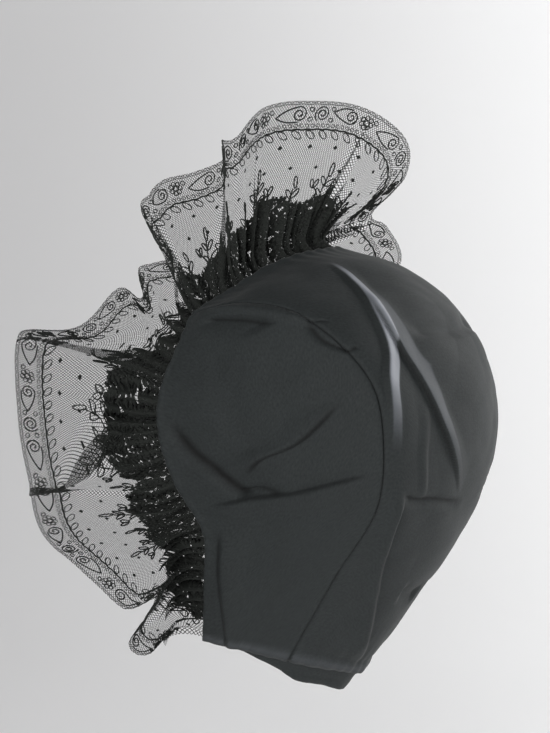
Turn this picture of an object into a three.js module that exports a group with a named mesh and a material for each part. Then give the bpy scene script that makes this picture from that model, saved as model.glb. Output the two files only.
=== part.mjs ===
// A woman's cap of black silk: two round side panels, a pleated crown strip between them, a band at the nape
// and a wide lace ruffle gathered round the face. Millimetres, +Z up. The wearer faces -Y and the wearer's
// left is +X. The origin is the inside of the crown, where the top of the head rests.
import * as THREE from 'three';

// Cloth
const SILK_WALL = 1.2;
const LACE_WALL = 0.9;
const SEAM_GAP = 0.6;

// Mesh density of the silk
const CROWN_COLUMNS = 30;
const PANEL_COLUMNS = 10;
const CAP_ROWS = 22;
const PANEL_TIP = 0.35; // a side panel starts this share of a row below where it leaves the face edge

// Nape band
const BAND_DROP = 15; // shows this much below the hem
const BAND_TUCK = 5; // hidden behind the hem
const BAND_INSET = 2.2; // its middle surface lies this far inside the crown's
const BAND_REACH = 2.75; // its ends, in steps across the cap: 2 is the seam
const BAND_TAPER = 1.3; // its drop runs out over this many steps at each end
const BAND_END = 0.06; // share of the taper that is cut off at the end
const BAND_COLUMNS = 26;
const BAND_ROWS = 2;

// Lace ruffle
const ROOT_INSET = 5; // the gathered edge is sewn this far behind the face edge
const ROOT_DEPTH = 3.0; // and this far inside the silk
const BEND_START = 8; // the lace runs straight out from under the edge for this length
const BEND_LENGTH = 26; // and turns into its fold over this length
const GATHERS = 40; // small gathers along the whole face edge
const GATHER_COLUMNS = 4; // mesh columns for each of them
const GATHER_ROOT = 1.2; // gather height at the sewn edge
const GATHER_FULL = 3.4; // gather height where it is fullest
const GATHER_PEAK = 22; // distance of the fullest place from the sewn edge
const GATHER_FADE = 58; // distance at which the gathers have run out
const LACE_ROWS = 9;

// Sections of the cap, one row for each, swept from the forehead edge over the top and back to the neck hem.
// face is on the face edge, seam is where side panel and crown meet, shoulder is on the rounding of the crown
// and ridge is on the centre line. Points are x, y, z on the left half, and the right half is its mirror.
const SECTIONS = [
  { face: [64, -81, -35], seam: [64, -81, -35], shoulder: [38, -39, -4], ridge: [0, -17, 4] },
  { face: [71, -87, -55], seam: [76, -44, -26], shoulder: [46, -2, -9], ridge: [0, 21, -7] },
  { face: [76, -94, -75], seam: [83, -8, -29], shoulder: [52, 31, -25], ridge: [0, 51, -30] },
  { face: [79, -96, -93], seam: [86, 23, -46], shoulder: [54, 55, -52], ridge: [0, 72, -60] },
  { face: [80, -92, -114], seam: [86, 45, -71], shoulder: [54, 66, -83], ridge: [0, 78, -95] },
  { face: [78, -83, -137], seam: [84, 50, -103], shoulder: [52, 67, -119], ridge: [0, 73, -134] },
  { face: [73, -69, -162], seam: [78, 44, -139], shoulder: [47, 57, -155], ridge: [0, 58, -171] },
  { face: [66, -72, -196], seam: [65, 14, -181], shoulder: [38, 31, -194], ridge: [0, 33, -209] },
  { face: [58, -77, -230], seam: [45, -27, -241], shoulder: [26, -6, -248], ridge: [0, 1, -254] },
];

// Pleats and creases of the silk, one row for each, on both halves. u and t are the ends and the middle of
// the line it follows, in the surface's own steps; a line that ends past u 0 keeps its height over the ridge.
// height is how far it stands out, a hollow is negative. easy is the width of its slope toward the ridge, or
// toward the forehead for a line across, and steep the width on the other side, in millimetres. right is the
// share of the height that it has on the right half.
const CREASES = [
  {
    is: 'first pleat', u: [0.7, 1.22, 1.8], t: [0.04, 0.33, 0.63],
    height: 4, easy: 14, steep: 9, right: 0.25,
  },
  {
    is: 'second pleat', u: [0.66, 1.16, 0.44], t: [0.06, 0.36, 0.62],
    height: 5, easy: 17, steep: 9, right: 0.25,
  },
  {
    is: 'end of the pleats', u: [1.7, 1.16, 0.2], t: [0.7, 0.69, 0.65],
    height: -2.2, easy: 8, steep: 8, right: 0.6,
  },
  {
    is: 'fold to the nape', u: [1.68, 1.5, 0.66], t: [0.7, 0.84, 0.98],
    height: 3.2, easy: 10, steep: 12, right: 0.6,
  },
  {
    is: 'dip at the back', u: [0.9, 0.3, -0.4], t: [0.33, 0.31, 0.3],
    height: -3, easy: 12, steep: 12, right: 1,
  },
  {
    is: 'dip above the nape', u: [0.6, 0.3, 0], t: [0.86, 0.86, 0.85],
    height: -2.5, easy: 9, steep: 9, right: 1,
  },
  {
    is: 'hollow above the ear', u: [2.5, 2.28, 2.2], t: [0.12, 0.18, 0.28],
    height: -2.6, easy: 10, steep: 14, right: 0.8,
  },
  {
    is: 'long crease', u: [2.2, 2.45, 2.68], t: [0.52, 0.58, 0.63],
    height: 2, easy: 8, steep: 10, right: 0.7,
  },
  {
    is: 'crease from the cheek', u: [2.94, 2.88, 2.74], t: [0.4, 0.51, 0.68],
    height: -2.2, easy: 9, steep: 8, right: 0.8,
  },
  {
    is: 'ridge below the ear', u: [2.94, 2.5, 2.05], t: [0.68, 0.69, 0.67],
    height: 2.2, easy: 9, steep: 14, right: 0.8,
  },
  {
    is: 'fold at the jaw', u: [2.88, 2.8, 2.7], t: [0.78, 0.9, 1.02],
    height: 1.8, easy: 8, steep: 8, right: 0.8,
  },
];
const ACROSS = 50; // millimetres of silk in one step of u
const ALONG = 330; // millimetres of silk from forehead edge to neck hem

// Folds of the ruffle, one row for each turn of its free border, from the left neck corner over the top to
// the right neck corner. base is where the fold leaves the face edge, in millimetres of edge from its top,
// left side positive. swing turns the fold along the edge, lift raises it from the cap's surface, both in
// degrees, and reach is the width of lace from the sewn edge to the border.
const FOLDS = [
  { base: 312, swing: 14, lift: 100, reach: 48 },
  { base: 292, swing: -3, lift: 98, reach: 84 },
  { base: 277, swing: -9, lift: 92, reach: 92 },
  { base: 265, swing: 6, lift: 108, reach: 92 },
  { base: 256, swing: -6, lift: 96, reach: 97 },
  { base: 247, swing: -6, lift: 88, reach: 100 },
  { base: 232, swing: 18, lift: 67, reach: 100 },
  { base: 216, swing: 33, lift: 37, reach: 100 },
  { base: 205, swing: 16, lift: 44, reach: 97 },
  { base: 194, swing: 5, lift: 67, reach: 100 },
  { base: 173, swing: 12, lift: 61, reach: 98 },
  { base: 153, swing: 6, lift: 46, reach: 100 },
  { base: 144, swing: 3, lift: 0, reach: 96 },
  { base: 135, swing: 24, lift: 0, reach: 86 },
  { base: 127, swing: 20, lift: -12, reach: 84 },
  { base: 118, swing: 30, lift: 4, reach: 86 },
  { base: 111, swing: 33, lift: -2, reach: 86 },
  { base: 102, swing: 12, lift: 33, reach: 100 },
  { base: 94, swing: 9, lift: 50, reach: 99 },
  { base: 83, swing: 34, lift: 54, reach: 101 },
  { base: 67, swing: 23, lift: 100, reach: 104 },
  { base: 55, swing: 30, lift: 81, reach: 112 },
  { base: 36, swing: 24, lift: 88, reach: 111 },
  { base: 16, swing: 22, lift: 96, reach: 109 },
  { base: -3, swing: 8, lift: 123, reach: 103 },
  { base: -20, swing: -8, lift: 136, reach: 90 },
  { base: -38, swing: 9, lift: 144, reach: 76 },
  { base: -54, swing: -18, lift: 158, reach: 82 },
  { base: -74, swing: -18, lift: 174, reach: 100 },
  { base: -83, swing: -16, lift: 176, reach: 94 },
  { base: -90, swing: 2, lift: 142, reach: 90 },
  { base: -98, swing: 12, lift: 100, reach: 92 },
  { base: -108, swing: 14, lift: 120, reach: 94 },
  { base: -118, swing: 4, lift: 94, reach: 94 },
  { base: -130, swing: 8, lift: 66, reach: 90 },
  { base: -146, swing: -8, lift: 40, reach: 100 },
  { base: -166, swing: -14, lift: 64, reach: 100 },
  { base: -190, swing: -4, lift: 68, reach: 100 },
  { base: -210, swing: -30, lift: 40, reach: 100 },
  { base: -230, swing: -14, lift: 68, reach: 100 },
  { base: -250, swing: 6, lift: 90, reach: 100 },
  { base: -266, swing: -4, lift: 70, reach: 94 },
  { base: -288, swing: 2, lift: 96, reach: 86 },
  { base: -312, swing: -14, lift: 100, reach: 48 },
];

const vec = ([x, y, z]) => new THREE.Vector3(x, y, z);
const flip = (p) => new THREE.Vector3(-p.x, p.y, p.z);
const smooth = (x) => THREE.MathUtils.smoothstep(x, 0, 1);

// The four lengthwise lines of the left half, each a smooth curve through its column of the section table.
const LINES = ['face', 'seam', 'shoulder', 'ridge'].map(
  (column) => new THREE.CatmullRomCurve3(SECTIONS.map((row) => vec(row[column])), false, 'centripetal'),
);

// Middle surface of the silk before folds. u runs across: 3 left face edge, 2 left seam, 0 ridge, -2 right
// seam, -3 right face edge. t runs from the forehead edge at 0 to the neck hem at 1.
function capBase(u, t) {
  const [face, seam, shoulder, ridge] = LINES.map((line) => line.getPoint(t));
  const across = [face, seam, shoulder, ridge, flip(shoulder), flip(seam), flip(face)];
  return new THREE.CatmullRomCurve3(across, false, 'centripetal').getPoint((3 - u) / 6);
}

// Outward normal of the unfolded surface, by central differences held inside the table's range.
function capNormal(u, t) {
  const step = 0.02;
  const low = Math.max(t - step, 0.03);
  const high = Math.min(Math.max(t, 0.03) + step, 1);
  const along = capBase(u, high).sub(capBase(u, low));
  const mid = Math.max(t, 0.03);
  const left = capBase(Math.min(u + step, 3), mid);
  const right = capBase(Math.max(u - step, -3), mid);
  return left.sub(right).cross(along).normalize();
}

// Each crease as a line of points, in millimetres on the laid-out silk.
const CREASE_LINES = CREASES.map(({ u, t }) => {
  const knots = u.map((step, k) => new THREE.Vector2(step * ACROSS, t[k] * ALONG));
  return new THREE.SplineCurve(knots).getPoints(12);
});

// Height of one crease at a place on the laid-out silk: it falls off on both sides and runs out at its ends.
// The side is positive toward the ridge.
function creaseAt(place, line, { height, easy, steep }) {
  let nearest = { gap: Infinity };
  for (let k = 0; k + 1 < line.length; k += 1) {
    const run = line[k + 1].clone().sub(line[k]);
    const off = place.clone().sub(line[k]);
    const share = THREE.MathUtils.clamp(off.dot(run) / run.lengthSq(), 0, 1);
    const gap = off.distanceTo(run.clone().multiplyScalar(share));
    if (gap < nearest.gap) nearest = { gap, side: run.cross(off), along: (k + share) / (line.length - 1) };
  }
  const fall = Math.max(0, 1 - nearest.gap / (nearest.side > 0 ? easy : steep));
  const ends = smooth(nearest.along / 0.25) * smooth((1 - nearest.along) / 0.25);
  return height * ends * smooth(fall);
}

// Silk surface with its pleats and creases
function capPoint(u, t) {
  const place = new THREE.Vector2(Math.abs(u) * ACROSS, t * ALONG);
  const share = (crease) => (u < 0 ? crease.right : 1);
  const heights = CREASES.map((crease, k) => share(crease) * creaseAt(place, CREASE_LINES[k], crease));
  const height = heights.reduce((sum, each) => sum + each, 0);
  return capBase(u, t).addScaledVector(capNormal(u, t), height);
}

// A closed wall of even thickness round a grid of middle-surface points, grid[column][row].
function wall(grid, thickness) {
  const columns = grid.length;
  const rows = grid[0].length;
  const at = (i, j) => grid[THREE.MathUtils.clamp(i, 0, columns - 1)][THREE.MathUtils.clamp(j, 0, rows - 1)];
  const points = [];
  for (const side of [0.5, -0.5]) {
    for (let i = 0; i < columns; i += 1) {
      for (let j = 0; j < rows; j += 1) {
        const along = at(i + 1, j).clone().sub(at(i - 1, j));
        const up = at(i, j + 1).clone().sub(at(i, j - 1));
        const normal = along.cross(up).normalize();
        points.push(...at(i, j).clone().addScaledVector(normal, side * thickness).toArray());
      }
    }
  }
  const index = (side, i, j) => side * columns * rows + i * rows + j;
  const faces = [];
  const quad = (a, b, c, d) => faces.push(a, b, c, a, c, d);
  for (let i = 0; i + 1 < columns; i += 1) {
    for (let j = 0; j + 1 < rows; j += 1) {
      quad(index(0, i, j), index(0, i + 1, j), index(0, i + 1, j + 1), index(0, i, j + 1));
      quad(index(1, i, j), index(1, i, j + 1), index(1, i + 1, j + 1), index(1, i + 1, j));
    }
  }
  for (let i = 0; i + 1 < columns; i += 1) {
    quad(index(0, i + 1, 0), index(0, i, 0), index(1, i, 0), index(1, i + 1, 0));
    quad(index(0, i, rows - 1), index(0, i + 1, rows - 1), index(1, i + 1, rows - 1), index(1, i, rows - 1));
  }
  const end = columns - 1;
  for (let j = 0; j + 1 < rows; j += 1) {
    quad(index(0, 0, j), index(0, 0, j + 1), index(1, 0, j + 1), index(1, 0, j));
    quad(index(0, end, j + 1), index(0, end, j), index(1, end, j), index(1, end, j + 1));
  }
  const geometry = new THREE.BufferGeometry();
  geometry.setAttribute('position', new THREE.Float32BufferAttribute(points, 3));
  geometry.setIndex(faces);
  geometry.computeVertexNormals();
  return geometry;
}

// A grid of points from a function of two fractions.
function gridOf(columns, rows, point) {
  return Array.from({ length: columns + 1 }, (_, i) =>
    Array.from({ length: rows + 1 }, (__, j) => point(i / columns, j / rows)));
}

function crownGrid() {
  return gridOf(CROWN_COLUMNS, CAP_ROWS, (a, t) => capPoint(2 - 4 * a, t));
}

// side is 1 for the left panel and -1 for the right one. The seam end stops short by the sewing gap.
function panelGrid(side) {
  return gridOf(PANEL_COLUMNS, CAP_ROWS, (a, b) => {
    const t = Math.max(b, 1 / CAP_ROWS);
    const width = capBase(3, t).distanceTo(capBase(2, t));
    const start = 2 + SEAM_GAP / width;
    const u = THREE.MathUtils.lerp(start, 3, side > 0 ? 1 - a : a);
    const place = capPoint(side * u, t);
    return b > 0 ? place : capPoint(side * 2, 0).lerp(place, PANEL_TIP);
  });
}

// The band follows the neck hem inside the crown, hangs below it and tapers to its ends.
function bandGrid() {
  return gridOf(BAND_COLUMNS, BAND_ROWS, (a, b) => {
    const u = BAND_REACH * (1 - 2 * a);
    const hem = capPoint(u, 1);
    const down = hem.clone().sub(capPoint(u, 0.96)).normalize();
    const inward = capNormal(u, 0.98).negate();
    const depth = BAND_DROP * smooth((BAND_REACH - Math.abs(u)) / BAND_TAPER + BAND_END);
    const drop = THREE.MathUtils.lerp(-BAND_TUCK, depth, b);
    return hem.addScaledVector(inward, BAND_INSET).addScaledVector(down, drop);
  });
}

// Face edge from the left neck corner over the top to the right neck corner: point, outward normal and
// distance along the edge at each sample.
function faceEdge() {
  const side = 60;
  const brow = 80;
  const stations = [];
  for (let i = 0; i < side; i += 1) stations.push([3, 1 - i / side]);
  for (let i = 0; i <= brow; i += 1) stations.push([2 - (4 * i) / brow, 0]);
  for (let i = 1; i <= side; i += 1) stations.push([-3, i / side]);
  const edge = stations.map(([u, t]) => ({ point: capPoint(u, t), normal: capNormal(u, t), run: 0 }));
  for (let i = 1; i < edge.length; i += 1) {
    edge[i].run = edge[i - 1].run + edge[i].point.distanceTo(edge[i - 1].point);
  }
  return edge;
}

const EDGE = faceEdge();
const EDGE_HALF = EDGE[EDGE.length - 1].run / 2;

// Frame on the face edge at a distance from its top: tangent toward the right, normal, and the way out.
function edgeFrame(base) {
  const run = THREE.MathUtils.clamp(EDGE_HALF - base, 0, 2 * EDGE_HALF - 0.01);
  const blend = 9;
  const point = edgeAt(run, 'point');
  const tangent = edgeAt(run + blend, 'point').sub(edgeAt(run - blend, 'point')).normalize();
  const normal = new THREE.Vector3();
  for (const shift of [-2, -1, 0, 1, 2]) normal.add(edgeAt(run + shift * blend, 'normal'));
  normal.addScaledVector(tangent, -normal.dot(tangent)).normalize();
  const out = normal.clone().cross(tangent).normalize();
  return { point, tangent, normal, out };
}

function edgeAt(run, key) {
  const held = THREE.MathUtils.clamp(run, 0, 2 * EDGE_HALF);
  let i = 1;
  while (i + 1 < EDGE.length && EDGE[i].run < held) i += 1;
  const before = EDGE[i - 1];
  const after = EDGE[i];
  const share = (held - before.run) / (after.run - before.run);
  return before[key].clone().lerp(after[key], share);
}

// Smooth values of the fold table at a distance along the face edge.
function foldAt(base) {
  const last = FOLDS.length - 1;
  let i = 0;
  while (i + 1 < last && FOLDS[i + 1].base > base) i += 1;
  const f = (FOLDS[i].base - base) / (FOLDS[i].base - FOLDS[i + 1].base);
  const blend = (column) => {
    const row = (k) => FOLDS[THREE.MathUtils.clamp(k, 0, last)];
    const [a, b, c, d] = [i - 1, i, i + 1, i + 2].map((k) => row(k)[column]);
    return b + 0.5 * f * (c - a + f * (2 * a - 5 * b + 4 * c - d + f * (3 * (b - c) + d - a)));
  };
  return { swing: blend('swing'), lift: blend('lift'), reach: blend('reach') };
}

// Height of the gathers at a distance from the sewn edge.
function gatherHeight(distance) {
  const rise = GATHER_ROOT + (GATHER_FULL - GATHER_ROOT) * smooth(distance / GATHER_PEAK);
  return rise * (1 - smooth((distance - GATHER_PEAK) / (GATHER_FADE - GATHER_PEAK)));
}

// One column of the ruffle, from the sewn edge to the border.
function laceColumn(base) {
  const substeps = 4;
  const { point, tangent, normal, out } = edgeFrame(base);
  const fold = foldAt(base);
  const swing = THREE.MathUtils.degToRad(fold.swing);
  const lift = THREE.MathUtils.degToRad(fold.lift);
  const step = fold.reach / (LACE_ROWS * substeps);
  const wave = Math.sin((Math.PI * base * GATHERS) / EDGE_HALF);
  const place = point.clone().addScaledVector(out, -ROOT_INSET).addScaledVector(normal, -ROOT_DEPTH);
  const column = [];
  for (let k = 0; k <= LACE_ROWS * substeps; k += 1) {
    const distance = k * step;
    const turn = smooth((distance - BEND_START) / BEND_LENGTH);
    const rise = lift * turn;
    const lean = swing * turn;
    const heading = new THREE.Vector3()
      .addScaledVector(out, Math.cos(lean) * Math.cos(rise))
      .addScaledVector(normal, Math.cos(lean) * Math.sin(rise))
      .addScaledVector(tangent, Math.sin(lean));
    const side = normal.clone().multiplyScalar(Math.cos(rise)).addScaledVector(out, -Math.sin(rise));
    if (k > 0) place.addScaledVector(heading, step);
    if (k % substeps === 0) column.push(place.clone().addScaledVector(side, wave * gatherHeight(distance)));
  }
  return column;
}

function ruffleGrid() {
  const count = GATHERS * GATHER_COLUMNS;
  return Array.from({ length: count + 1 }, (_, i) => laceColumn(EDGE_HALF * (1 - (2 * i) / count)));
}

const silk = new THREE.MeshStandardMaterial({ name: 'black_silk', color: 0x23262a, roughness: 0.45 });
const lace = new THREE.MeshStandardMaterial({ name: 'black_lace', color: 0x14161a, roughness: 0.8 });

function piece(name, geometry, material) {
  const mesh = new THREE.Mesh(geometry, material);
  mesh.name = name;
  return mesh;
}

const cap = new THREE.Group();
cap.name = 'lace_cap';
cap.add(piece('crown', wall(crownGrid(), SILK_WALL), silk));
cap.add(piece('side_panel_left', wall(panelGrid(1), SILK_WALL), silk));
cap.add(piece('side_panel_right', wall(panelGrid(-1), SILK_WALL), silk));
cap.add(piece('nape_band', wall(bandGrid(), SILK_WALL), silk));
cap.add(piece('lace_ruffle', wall(ruffleGrid(), LACE_WALL), lace));

export default cap;
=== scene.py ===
"""A woman's black silk cap with a gathered lace ruffle: its finished cloth on the frame of the solids."""
import math

import bpy
import numpy as np
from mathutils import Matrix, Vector


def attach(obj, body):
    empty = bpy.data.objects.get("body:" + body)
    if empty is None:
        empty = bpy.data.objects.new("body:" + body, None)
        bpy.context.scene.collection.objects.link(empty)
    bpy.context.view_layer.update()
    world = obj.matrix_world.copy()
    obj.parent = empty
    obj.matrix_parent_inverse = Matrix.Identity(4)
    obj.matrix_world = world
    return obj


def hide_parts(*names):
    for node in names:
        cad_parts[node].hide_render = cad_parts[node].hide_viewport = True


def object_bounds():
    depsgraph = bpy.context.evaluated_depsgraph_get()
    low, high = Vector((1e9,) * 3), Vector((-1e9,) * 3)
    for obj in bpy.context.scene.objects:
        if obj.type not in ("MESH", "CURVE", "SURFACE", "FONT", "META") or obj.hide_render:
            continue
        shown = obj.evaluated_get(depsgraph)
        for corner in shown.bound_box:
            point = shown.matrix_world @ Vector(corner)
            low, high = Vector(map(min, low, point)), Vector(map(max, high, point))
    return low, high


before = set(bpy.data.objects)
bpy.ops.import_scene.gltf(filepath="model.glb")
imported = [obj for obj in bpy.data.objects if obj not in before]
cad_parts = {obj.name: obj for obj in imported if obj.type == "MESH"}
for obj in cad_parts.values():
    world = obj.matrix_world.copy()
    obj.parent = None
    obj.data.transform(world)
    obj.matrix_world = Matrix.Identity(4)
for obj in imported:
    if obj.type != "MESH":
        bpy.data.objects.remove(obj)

CAD_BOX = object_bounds()
MM = 0.001

# Camera and stage: millimetres of the part's frame, degrees, and pixels of the 550 by 733 picture
VIEW_AZIMUTH = 115
VIEW_ELEVATION = 5
VIEW_DISTANCE = 1300
VIEW_TARGET = (26.838, -43.758, -66.645)
FOCAL_PIXELS = 2166.67
PICTURE_HEIGHT = 733
SENSOR = 36
FLOOR_GAP = 90

# Backdrop in metres, and the strength of the pale surround
FLOOR_FRONT = 2.5
FLOOR_BACK = 0.5
WALL_BEND = 0.9
WALL_HEIGHT = 4.0
SURROUND = 0.05

# Silk: wall, mesh density, and the small forms at its seams and hems, in millimetres
SILK_WALL = 0.9
CROWN_COLUMNS = 130
FAR_COLUMNS = 66
PANEL_COLUMNS = 150
CAP_ROWS = 230
BAND_COLUMNS = 150
BAND_ROWS = 14
SEAM_STEP = 0.005
PANEL_TIP = 0.012
BAND_DROP = 15
BAND_TUCK = 5
BAND_INSET = 2.2
BAND_REACH = 2.75
BAND_TAPER = 1.3
BAND_END = 0.06
ACROSS = 50
ALONG = 330
CREASE_END = 0.2
# Narrowest and widest painted shade line along the creases
PAINTED_SHADE_WIDTH = (0.9, 2.5)
WAVES = 14

# Lace: mesh density, the way it leaves the face edge, and its gathers, in millimetres
LACE_COLUMNS = 1320
LACE_ROWS = 60
ROOT_INSET = 5
ROOT_DEPTH = 3.0
BEND_START = 8
BEND_LENGTH = 26
GATHERS = 40
GATHER_ROOT = 1.2
GATHER_FULL = 3.4
GATHER_PEAK = 22
GATHER_FADE = 58
PLEATS = 96
PLEAT_HEIGHT = 4.0
PLEAT_FULL = 24
PLEAT_FADE = 76
TUCK_START = 2
TUCK_OPEN = 70
EDGE_SIDE = 60
EDGE_BROW = 81

# Lace pattern, in millimetres measured in from the border
NET_PITCH = 1.3
BORDER_REPEAT = 70
RIB = 17.5
LEAF_PITCH = 9.4
DOT_PITCH = 21
SPRAY_PITCH = 62
GROUND_TOP = 67
GROUND_END = 106
GROUND_WAVE = 7
FLOWER_PITCH = 6.6
FLOWER_ROW = 6.2
PETALS = 5
CORD = 0.45
FINE_CORD = 0.34

# Sections of the cap from the forehead edge over the top and back to the neck hem, left half as x, y, z.
# Columns: face edge, seam between side panel and crown, shoulder of the crown, ridge on the centre line.
SECTIONS = np.array([
    [[64, -81, -35], [64, -81, -35], [38, -39, -4], [0, -17, 4]],
    [[71, -87, -55], [76, -44, -26], [46, -2, -9], [0, 21, -7]],
    [[76, -94, -75], [83, -8, -29], [52, 31, -25], [0, 51, -30]],
    [[79, -96, -93], [86, 23, -46], [54, 55, -52], [0, 72, -60]],
    [[80, -92, -114], [86, 45, -71], [54, 66, -83], [0, 78, -95]],
    [[78, -83, -137], [84, 50, -103], [52, 67, -119], [0, 73, -134]],
    [[73, -69, -162], [78, 44, -139], [47, 57, -155], [0, 58, -171]],
    [[66, -72, -196], [65, 14, -181], [38, 31, -194], [0, 33, -209]],
    [[58, -77, -230], [45, -27, -241], [26, -6, -248], [0, 1, -254]],
], float)

# Pleats and creases of the silk: the line each follows (u across, t along), how far it stands out, the widths
# of its two slopes, easy toward the ridge or the forehead and steep on the other side, the share that the
# right half has, and how strongly painted shade darkens the colour at the foot of its narrower slope.
CREASES = [
    {"is": "first pleat",
     "u": (0.76, 0.96, 1.20, 1.44, 1.76, 1.90), "t": (0.08, 0.19, 0.29, 0.39, 0.49, 0.64),
     "height": 2.6, "easy": 10, "steep": 4.0, "right": 0.25, "painted_shade": 0.2},
    {"is": "second pleat",
     "u": (0.92, 1.14, 1.20, 1.08, 0.80, 0.28), "t": (0.18, 0.30, 0.39, 0.45, 0.55, 0.66),
     "height": 3.4, "easy": 16, "steep": 2.2, "right": 0.25, "painted_shade": 0.9},
    {"is": "end of the pleats", "u": (1.66, 1.24, 0.84, 0.2), "t": (0.715, 0.70, 0.68, 0.655),
     "height": -2.6, "easy": 4, "steep": 8, "right": 0.6, "painted_shade": 0.7},
    {"is": "fold to the nape", "u": (1.60, 1.62, 1.36, 0.84, 0.4), "t": (0.70, 0.77, 0.85, 0.93, 0.985),
     "height": 3.4, "easy": 5, "steep": 13, "right": 0.6, "painted_shade": 0.3},
    {"is": "drop of the strip", "u": (1.08, 1.24, 1.12), "t": (0.49, 0.60, 0.70),
     "height": 1.2, "easy": 6, "steep": 9, "right": 0.4, "painted_shade": 0.35},
    {"is": "dip at the back", "u": (0.9, 0.3, -0.4), "t": (0.33, 0.31, 0.3),
     "height": -3, "easy": 12, "steep": 9, "right": 1, "painted_shade": 0.0},
    {"is": "dip above the nape", "u": (0.6, 0.3, 0), "t": (0.86, 0.86, 0.85),
     "height": -2.5, "easy": 9, "steep": 9, "right": 1, "painted_shade": 0.0},
    {"is": "roll along the seam", "u": (2.14, 2.12, 2.09, 2.02), "t": (0.05, 0.15, 0.24, 0.31),
     "height": 1.6, "easy": 5, "steep": 6, "right": 0.8, "painted_shade": 0.0},
    {"is": "hollow above the ear", "u": (2.40, 2.28, 2.20), "t": (0.08, 0.19, 0.28),
     "height": -3.4, "easy": 5, "steep": 14, "right": 0.8, "painted_shade": 0.75},
    {"is": "long crease", "u": (2.22, 2.36, 2.48, 2.62, 2.73), "t": (0.51, 0.56, 0.59, 0.60, 0.64),
     "height": 2.4, "easy": 2.2, "steep": 11, "right": 0.7, "painted_shade": 0.85},
    {"is": "crease from the cheek", "u": (2.93, 2.88, 2.80, 2.74, 2.70), "t": (0.40, 0.52, 0.60, 0.66, 0.69),
     "height": -3.2, "easy": 9, "steep": 3.2, "right": 0.8, "painted_shade": 0.95},
    {"is": "branch of that crease", "u": (2.76, 2.64, 2.56), "t": (0.665, 0.672, 0.70),
     "height": -1.3, "easy": 3, "steep": 6, "right": 0.6, "painted_shade": 0.6},
    {"is": "ridge below the ear", "u": (2.94, 2.72, 2.5, 2.28, 2.04), "t": (0.69, 0.695, 0.705, 0.70, 0.69),
     "height": 3.0, "easy": 3.6, "steep": 16, "right": 0.8, "painted_shade": 0.55},
    {"is": "fold at the jaw", "u": (2.88, 2.87, 2.80, 2.66), "t": (0.74, 0.84, 0.93, 1.02),
     "height": 2.2, "easy": 9, "steep": 2.4, "right": 0.8, "painted_shade": 0.6},
    {"is": "fork above the ear", "u": (2.03, 2.07, 1.99), "t": (0.30, 0.36, 0.41),
     "height": -1.2, "easy": 3, "steep": 3, "right": 0.5, "painted_shade": 0.8},
    {"is": "upper nip of the fork", "u": (2.04, 1.94, 1.82), "t": (0.30, 0.305, 0.31),
     "height": -0.9, "easy": 3, "steep": 3, "right": 0.4, "painted_shade": 0.6},
    {"is": "lower nip of the fork", "u": (2.04, 1.94, 1.82), "t": (0.405, 0.40, 0.39),
     "height": -0.9, "easy": 3, "steep": 3, "right": 0.4, "painted_shade": 0.6},
]

# Painted sheen: paler colour standing in for the highlight on the pleats' slopes. Columns: crease, widths at
# its start, middle and end, and strength.
PAINTED_SHEEN = [
    {"crease": 0, "widths": (2.0, 7.5, 7.5), "strength": 1.0},
    {"crease": 1, "widths": (8.0, 17.0, 2.5), "strength": 0.24},
]

# Folds of the ruffle along its free border, from the left neck corner over the top to the right neck corner.
# Columns: base in millimetres of face edge from its top, swing and lift in degrees, reach in millimetres.
FOLDS = np.array([
    [312, 14, 100, 48], [292, -3, 98, 84], [277, -9, 92, 92], [265, 6, 108, 92], [256, -6, 96, 97],
    [247, -6, 88, 100], [232, 18, 67, 100], [216, 33, 37, 97], [205, 16, 44, 92], [194, 5, 67, 100],
    [173, 12, 61, 98], [153, 6, 46, 100], [144, 3, 0, 96], [135, 24, 0, 86], [127, 20, -12, 84],
    [118, 30, 4, 86], [111, 33, -2, 86], [102, 12, 33, 100], [94, 9, 50, 99], [83, 34, 54, 101],
    [67, 23, 100, 104], [55, 30, 81, 112], [36, 24, 88, 111], [16, 22, 96, 109], [-3, 8, 123, 103],
    [-20, -8, 136, 90], [-38, 9, 144, 76], [-54, -18, 158, 82], [-74, -18, 174, 100], [-83, -16, 176, 94],
    [-90, 2, 142, 90], [-98, 12, 100, 92], [-108, 14, 120, 94], [-118, 4, 94, 94], [-130, 8, 66, 90],
    [-146, -8, 40, 100], [-166, -14, 64, 100], [-190, -4, 68, 100], [-210, -30, 40, 100],
    [-230, -14, 68, 100], [-250, 6, 90, 100], [-266, -4, 70, 94], [-288, 2, 96, 86], [-312, -14, 100, 48],
], float)

# Tucks where the lace doubles over between its lobes. Columns: base, how far the tuck leans along the border
# for each millimetre in from it, width of the fold and how far it doubles over.
TUCKS = np.array([
    [266, 0, 9, 24], [207, 1.1, 28, 84], [155, 1.2, 70, 200], [100, 0, 10, 26],
    [80, -0.1, 16, 46], [58, 0, 6, 14], [10, 0, 7, 16],
])


def smooth(x):
    """0 below 0, 1 above 1 and a smooth cubic between."""
    held = np.clip(x, 0, 1)
    return held * held * (3 - 2 * held)


def unit(vectors):
    """Vectors scaled to length 1."""
    return vectors / np.maximum(np.linalg.norm(vectors, axis=-1, keepdims=True), 1e-9)


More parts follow.
